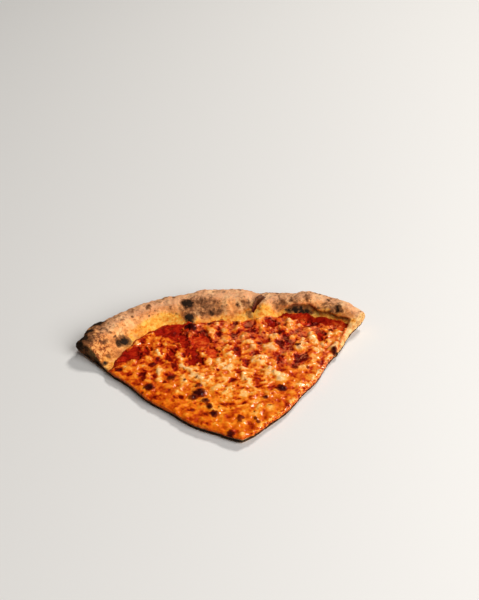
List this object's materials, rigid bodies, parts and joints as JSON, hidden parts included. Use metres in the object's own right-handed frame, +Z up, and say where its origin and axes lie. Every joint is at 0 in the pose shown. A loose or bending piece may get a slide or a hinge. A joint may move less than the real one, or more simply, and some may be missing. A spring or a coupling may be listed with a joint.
{
  "type": "pizza slice",
  "caption": "Wedge of baked pizza to eat by hand: a charred, puffed rim and a thin base of dough under tomato sauce and lumpy melted cheese with bare patches.",
  "frame": {"origin": "the middle of the flat patch of the underside that the slice rests on, 87 mm from the tip along the centre line", "axes": "+Z up; +Y from the tip towards the rim along the slice's centre line; +X to the right seen from the tip"},
  "size_m": [0.2094, 0.1578, 0.0189],
  "materials": {
    "crust": "dry floury baked dough, toasted grey-brown, with near-black char spots",
    "sauce": "wet, glossy deep red tomato sauce",
    "cheese": "oily golden orange melted cheese with cream lumps and dark blisters"
  },
  "bodies": {
    "root": {"crust": "crust", "sauce": "sauce", "cheese": "cheese"}
  },
  "joints": []
}
